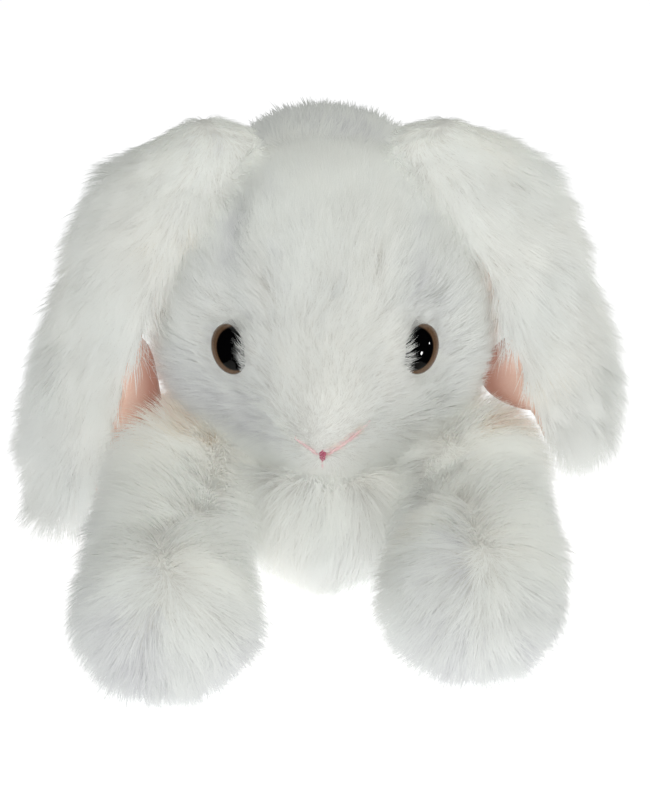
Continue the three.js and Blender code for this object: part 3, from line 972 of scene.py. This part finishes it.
def make_lining(side_name, lined, line):
    """The pink velour: the skin's lined faces, raised, and a fold that turns in along the front edge."""
    side = SIDES[side_name]
    shape = bmesh.new()
    shape.from_mesh(skins[f"ear_{side_name}"].data)
    shape.faces.ensure_lookup_table()
    centres = np.array([f.calc_center_median() for f in shape.faces])
    normals = np.array([f.normal for f in shape.faces])
    chosen = lined(centres, normals)
    bmesh.ops.delete(shape, geom=[f for f, c in zip(shape.faces, chosen) if not c], context="FACES")
    for vertex in shape.verts:
        vertex.co += vertex.normal * 0.7 * MM
    start, end = FOLD_SPAN[side_name]
    rows, columns = 40, 9
    tall = line.high - line.low
    heights = np.linspace(line.high - tall * start, line.high - tall * end, rows)
    centre, axis, half = line.edge(heights)
    inward = unit(np.array([-side * 0.95, 0.30, -0.12]))
    # how far in across the fold each point lies; the velour paints the inner part darker as shade
    depth = shape.verts.layers.float.new("fold_depth")
    grid = []
    for i in range(rows):
        share = i / (rows - 1)
        wide = FOLD_WIDTH[side_name] * math.sin(math.pi * share) ** 0.6 * (0.55 + 0.45 * share)
        edge = centre[i] + axis[i] * (half[i] - 1.5 * MM)
        for j in range(columns):
            t = j / (columns - 1)
            bow = math.sin(math.pi * t) * 0.22 * wide
            corner = shape.verts.new(edge + inward * wide * t + np.array([0, -1, 0]) * bow)
            corner[depth] = t
            grid.append(corner)
    for i in range(rows - 1):
        for j in range(columns - 1):
            a, b = i * columns + j, (i + 1) * columns + j
            corners = [grid[a], grid[a + 1], grid[b + 1], grid[b]]
            shape.faces.new(corners if side < 0 else corners[::-1])
    patch = bpy.data.meshes.new(f"ear_{side_name}_velour")
    shape.to_mesh(patch)
    shape.free()
    piece = new_object(f"ear_{side_name}_velour", patch, VELOUR)
    smooth = piece.modifiers.new("soft", "SMOOTH")
    smooth.iterations = 3
    thick = piece.modifiers.new("thick", "SOLIDIFY")
    thick.thickness = 1.0 * MM
    thick.offset = -1
    apply_modifiers(piece)
    shade_smooth(piece.data)
    return piece


# ---------------------------------------------------------------- legs, torso and tail
def leg_fur(leg):
    root = JOINT[leg + ("_lift" if leg.startswith("front") else "_swing")]
    points = surfaces[leg].points
    forwards = leg.startswith("front")
    outward = side_of(leg)
    far = points[np.argsort(points[:, 1] * (1 if forwards else -1))[: len(points) // 12]]
    foot = far.mean(0)
    tip_radius = 20 * MM
    foot = foot - unit(foot - root) * tip_radius * 0.6
    axis = unit(foot - root)
    top = points[np.abs(points[:, 1] - root[1]) < 10 * MM][:, 2].max()
    # shoulder: where the front legs' pile is painted peach, as pinkish shade beside the ear lining
    shoulder = np.array([root[0] + outward * 4 * MM, root[1], top]) if forwards else np.full(3, 9.0)

    def comb(points, normals):
        along = np.clip((root[1] - points[:, 1]) / abs(foot[1] - root[1]), 0, 1) if forwards else 0
        parting = root[0] - outward * 13 * MM * (1 - along) + axis[0] * (root[1] - points[:, 1])
        parting = parting + 5 * MM * waves(points, 18 * MM, 7) + 3 * MM * waves(points, 5 * MM, 8)
        sideways = (points[:, 0] - parting) / (13 * MM)
        sideways = np.sign(sideways) * np.clip(np.abs(sideways), 0.7 * (1 - step(along, 0.6, 0.95)), 1.6)
        ahead = -0.12 if forwards else 0.5
        return np.stack([sideways, np.full(len(points), ahead), np.full(len(points), -0.8)], axis=1)

    def density(points, normals):
        hidden = surfaces["torso"].distance(points) < 1 * MM
        under = step(-normals[:, 2], 0.75, 0.97)
        base = 0.9 + 4.3 * facing(normals) if forwards else 0.95
        return base * (1 - 0.6 * under) * ~hidden

    return fur_of(
        most=5.2 if forwards else 0.95, density=density, comb=comb,
        length=lambda p, n: (12.5 - 3.5 * step(-n[:, 2], 0.5, 0.95)) * MM,
        lean=constant(50.0),
        width=constant((0.17 if forwards else 0.5) * MM),
        # painted shade: the low front of the paws is darker
        tone=lambda p: 0.44 + 0.34 * bump_at(p, shoulder, 15 * MM) * (0.75 + 0.5 * waves(p, 6 * MM, 9))
        - 0.20 * step(root[1] - p[:, 1], 40 * MM, 80 * MM) * (1 - step(p[:, 2], 15 * MM, 55 * MM)),
        tuft=22 if forwards else 12, gather=0.2, droop=0.12,
    ), root, axis


def torso_comb(points, normals):
    leg_root = JOINT["front_leg_left_lift"][1]
    front = step(leg_root - points[:, 1], -10 * MM, 14 * MM)
    back = np.array([0, 1, -0.25])
    outward = (points[:, 0] - HEAD[0]) * 6
    chest = np.stack([outward, np.full(len(points), -0.55), np.full(len(points), -1.0)], axis=1)
    return back * (1 - front)[:, None] + chest * front[:, None]


def torso_density(points, normals):
    front = step(-points[:, 1], 0.03, 0.07)
    above = step(points[:, 2], 75 * MM, 100 * MM)
    inwards = dot(normals, unit(HEAD - points)) > 0.6
    hidden = (surfaces["head"].distance(points) < 13 * MM) & inwards
    for leg in LEGS:
        reach = 6.5 * MM
        low, high = surfaces[leg].points.min(0) - reach, surfaces[leg].points.max(0) + reach
        near = ((points > low) & (points < high)).all(1)
        hidden[near] |= surfaces[leg].distance(points[near]) < reach
    dense = 0.75 + 4.2 * front + 0.5 * above
    return dense * (1 - 0.5 * step(-normals[:, 2], 0.8, 0.95)) * ~hidden


TORSO_FUR = fur_of(
    most=5.0, density=torso_density, comb=torso_comb,
    length=lambda p, n: (13 + 5 * step(-p[:, 1], 0.07, 0.09) - 5 * step(-n[:, 2], 0.85, 0.99)) * MM,
    width=lambda p: (0.54 - 0.37 * step(-p[:, 1], 0.03, 0.07)) * MM,
    lean=constant(50.0),
    # painted shade: the pile is darker towards the back and rump
    tone=lambda p: 0.44 - 0.14 * step(p[:, 1], -20 * MM, 20 * MM),
    tuft=14, gather=0.3,
)
BELLY_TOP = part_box("belly_panel")[1][2]
TORSO_PANELS = {
    "body_side_left": lambda p: (p[:, 0] <= HEAD[0]) & (p[:, 2] > BELLY_TOP),
    "body_side_right": lambda p: (p[:, 0] > HEAD[0]) & (p[:, 2] > BELLY_TOP),
    "belly_panel": lambda p: p[:, 2] <= BELLY_TOP,
}
TAIL_ROOT = JOINT["tail_tip"]
TAIL_FUR = fur_of(
    most=1.6, density=lambda p, n: 1.6 * (surfaces["torso"].distance(p) > 1 * MM),
    comb=lambda p, n: unit(p - TAIL_ROOT) + np.array([0, 0.4, 0.5]),
    length=constant(11 * MM),
    width=constant(0.45 * MM),
    lean=constant(40.0),
)


def finish_pile(piece, body, node):
    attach(piece, body)
    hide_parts(node)


PANELLED = {"head": (HEAD_FUR, HEAD_PANELS, 100), "torso": (TORSO_FUR, TORSO_PANELS, 200)}
for body, (fur, panels, seed) in PANELLED.items():
    for number, (panel, keep) in enumerate(panels.items()):
        finish_pile(grow(panel + "_pile", body, fur, seed + 10 * number, keep), body, panel)
for number, side_name in enumerate(SIDES):
    body = f"ear_{side_name}"
    fur, lined, line = ear_parts(side_name)
    finish_pile(grow(body + "_outer_pile", body, fur, 300 + 10 * number), body, body + "_outer")
    lining = make_lining(side_name, lined, line)
    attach(lining, body)
    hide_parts(body + "_lining")
for number, leg in enumerate(LEGS):
    fur, root, axis = leg_fur(leg)
    outward = side_of(leg)
    level = unit(np.array([axis[1], -axis[0], 0]))
    level = level * np.sign(level[0] * outward)
    for panel, sign in (("outer", 1), ("inner", -1)):
        keep = lambda p: dot(p - root, level) * sign > 0
        piece = grow(f"{leg}_{panel}_pile", leg, fur, 400 + 20 * number + 10 * (sign > 0), keep)
        finish_pile(piece, leg, f"{leg}_{panel}")
finish_pile(grow("tail_cover_pile", "tail", TAIL_FUR, 600), "tail", "tail_cover")


# ---------------------------------------------------------------- eyes
EYE_TILT = math.radians(20)
EYE_NARROW = 0.80
EYE_TALL = 1.02
EYE_SHIFT_MM = 0.8


def make_eye(side_name):
    seat, axis, radius, height = EYES[side_name]
    side = SIDES[side_name]
    axis = unit(axis + np.array([side * 0.11, 0.08, 0]))
    outward = unit(np.cross(axis, np.array([0, 0, 1.0]))) * -1
    outward = outward * np.sign(outward[0] * side)
    up = np.cross(outward, axis)
    up = up * np.sign(up[2])
    wide = outward * math.cos(EYE_TILT) - up * math.sin(EYE_TILT)
    tall = outward * math.sin(EYE_TILT) + up * math.cos(EYE_TILT)
    outward, up = wide * EYE_NARROW, tall * EYE_TALL
    seat = seat - wide * EYE_SHIFT_MM * MM
    rings, columns = 18, 56
    profile = [(math.sin(a) * radius, math.cos(a) * height) for a in np.linspace(0.02, math.pi / 2, rings)]
    profile += [(radius * 0.995, -0.5 * MM), (radius * 0.9, -1.2 * MM), (radius * 0.3, -1.6 * MM)]
    vertices, uv = [], []
    for r, h in profile:
        for c in range(columns):
            turn = 2 * math.pi * c / columns
            x, y = math.cos(turn), math.sin(turn)
            vertices.append(seat + axis * h + outward * r * x + up * r * y)
            uv.append((0.5 + 0.49 * x * r / radius, 0.5 + 0.49 * y * r / radius))
    faces = []
    for i in range(len(profile) - 1):
        for c in range(columns):
            d = (c + 1) % columns
            faces.append((i * columns + c, (i + 1) * columns + c, (i + 1) * columns + d, i * columns + d))
    faces.append(tuple(range(columns)))
    faces.append(tuple(reversed(range((len(profile) - 1) * columns, len(profile) * columns))))
    mesh = bpy.data.meshes.new(f"eye_{side_name}_dome")
    mesh.from_pydata([tuple(v) for v in vertices], [], faces)
    layer = mesh.uv_layers.new(name="OFBake")
    for loop in mesh.loops:
        layer.data[loop.index].uv = uv[loop.vertex_index]
    shade_smooth(mesh)
    shape = bmesh.new()
    shape.from_mesh(mesh)
    bmesh.ops.recalc_face_normals(shape, faces=shape.faces)
    shape.to_mesh(mesh)
    shape.free()
    piece = new_object(f"eye_{side_name}_dome", mesh, EYE)
    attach(piece, "head")
    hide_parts(f"eye_{side_name}")


def glint(name, side_name, across, rise, size, watts):
    """A small bright light where the eye mirrors it to the camera; the pile takes none of it."""
    seat, axis, _, _ = EYES[side_name]
    camera = np.array(scene.camera.location)
    view = unit(camera - seat)
    right = unit(np.cross(np.array([0, 0, 1.0]), view))
    up = np.cross(view, right)
    normal = unit(axis + right * across + up * rise)
    towards = 2 * dot(normal, view) * normal - view
    place = seat + towards * 1.3 - np.array(AIM)
    area_light(name, place, size, watts, mirrored=True, shadow=False)
    scene.objects[name].visible_diffuse = False


glint("main_glint", "right", -0.42, 0.10, 0.24, 9)
glint("small_glint", "right", -0.12, 0.30, 0.12, 2.5)
for side_name in SIDES:
    make_eye(side_name)
    washer = frame["nodes"][f"eye_washer_{side_name}"]
    washer.data.materials.clear()
    washer.data.materials.append(WASHER)


# ---------------------------------------------------------------- stitched nose and mouth
def on_face(x, z):
    """The point of the head's skin straight behind (x, z), seen from the front."""
    origin = Vector((x, HEAD[1] - 0.2, z))
    place, normal, _, _ = surfaces["head"].tree.ray_cast(origin, Vector((0, 1, 0)))
    return np.array(place), np.array(normal)


def thread(ends, radius, sides=8, rows=9):
    """One stitch: a short arched tube between two points of the face, as vertices and faces."""
    (ax, az), (bx, bz) = ends
    centres = []
    for t in np.linspace(0, 1, rows):
        place, normal = on_face(ax + (bx - ax) * t, az + (bz - az) * t)
        lift = radius * (0.2 + 1.1 * math.sin(math.pi * t) ** 0.5 if 0 < t < 1 else -0.8)
        centres.append(place + normal * lift)
    centres = np.array(centres)
    run = unit(np.gradient(centres, axis=0))
    side = unit(np.cross(run, np.array([0, -1.0, 0])))
    up = np.cross(side, run)
    vertices = []
    for i, c in enumerate(centres):
        for k in range(sides):
            turn = 2 * math.pi * k / sides + i * 0.35
            bulge = radius * (1 + 0.13 * math.cos(2 * turn))
            vertices.append(c + (side[i] * math.cos(turn) + up[i] * math.sin(turn)) * bulge)
    faces = []
    for i in range(rows - 1):
        for k in range(sides):
            l = (k + 1) % sides
            faces.append((i * sides + k, i * sides + l, (i + 1) * sides + l, (i + 1) * sides + k))
    faces.append(tuple(reversed(range(sides))))
    faces.append(tuple(range((rows - 1) * sides, rows * sides)))
    return vertices, faces


def stitches(name, lines, radius, look, node):
    vertices, faces = [], []
    for line in lines:
        some_vertices, some_faces = thread(line, radius)
        faces += [tuple(i + len(vertices) for i in f) for f in some_faces]
        vertices += some_vertices
    mesh = bpy.data.meshes.new(name)
    mesh.from_pydata([tuple(v) for v in vertices], [], faces)
    shade_smooth(mesh)
    piece = new_object(name, mesh, look)
    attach(piece, "head")
    if node:
        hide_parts(node)
    return piece


def nose_lines():
    lines = []
    for i in range(5):
        x = (i - 2) * 0.34 * MM
        top = (2.0 - abs(i - 2) * 0.4) * MM
        bottom = (-3.6 + abs(i - 2) * 0.8) * MM
        lines.append(((NOSE[0] + x, NOSE[2] + top), (NOSE[0] + x * 0.7, NOSE[2] + bottom)))
    return lines


def wing_lines():
    lines = []
    for side in SIDES.values():
        for row in range(2):
            for i in range(6 if side > 0 else 3):
                a, b = i * 2.3 + row * 1.1, i * 2.3 + 2.5 + row * 1.1
                at = lambda d: (
                    NOSE[0] + side * (1.2 + d * 0.82) * MM,
                    NOSE[2] + (0.3 + d * 0.56 + 0.45 * row) * MM,
                )
                lines.append((at(a), at(b)))
    return lines


def mouth_lines():
    return [
        ((NOSE[0], NOSE[2] - (2.0 + 2.4 * i) * MM), (NOSE[0] - 0.3 * MM, NOSE[2] - (4.6 + 2.4 * i) * MM))
        for i in range(3)
    ]


stitches("nose_tip_stitches", nose_lines(), 0.30 * MM, NOSE_THREAD, None)
stitches("nose_wing_stitches", wing_lines(), 0.30 * MM, SEAM_THREAD, "nose_stitching")
stitches("mouth_stitches", mouth_lines(), 0.28 * MM, SEAM_THREAD, "mouth_stitching")


# ---------------------------------------------------------------- the padding rides and its CAD parts are hidden
for body, obj in skins.items():
    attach(obj, body)
    if not body.startswith("ear"):
        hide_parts(*SKIN_NODES[body])
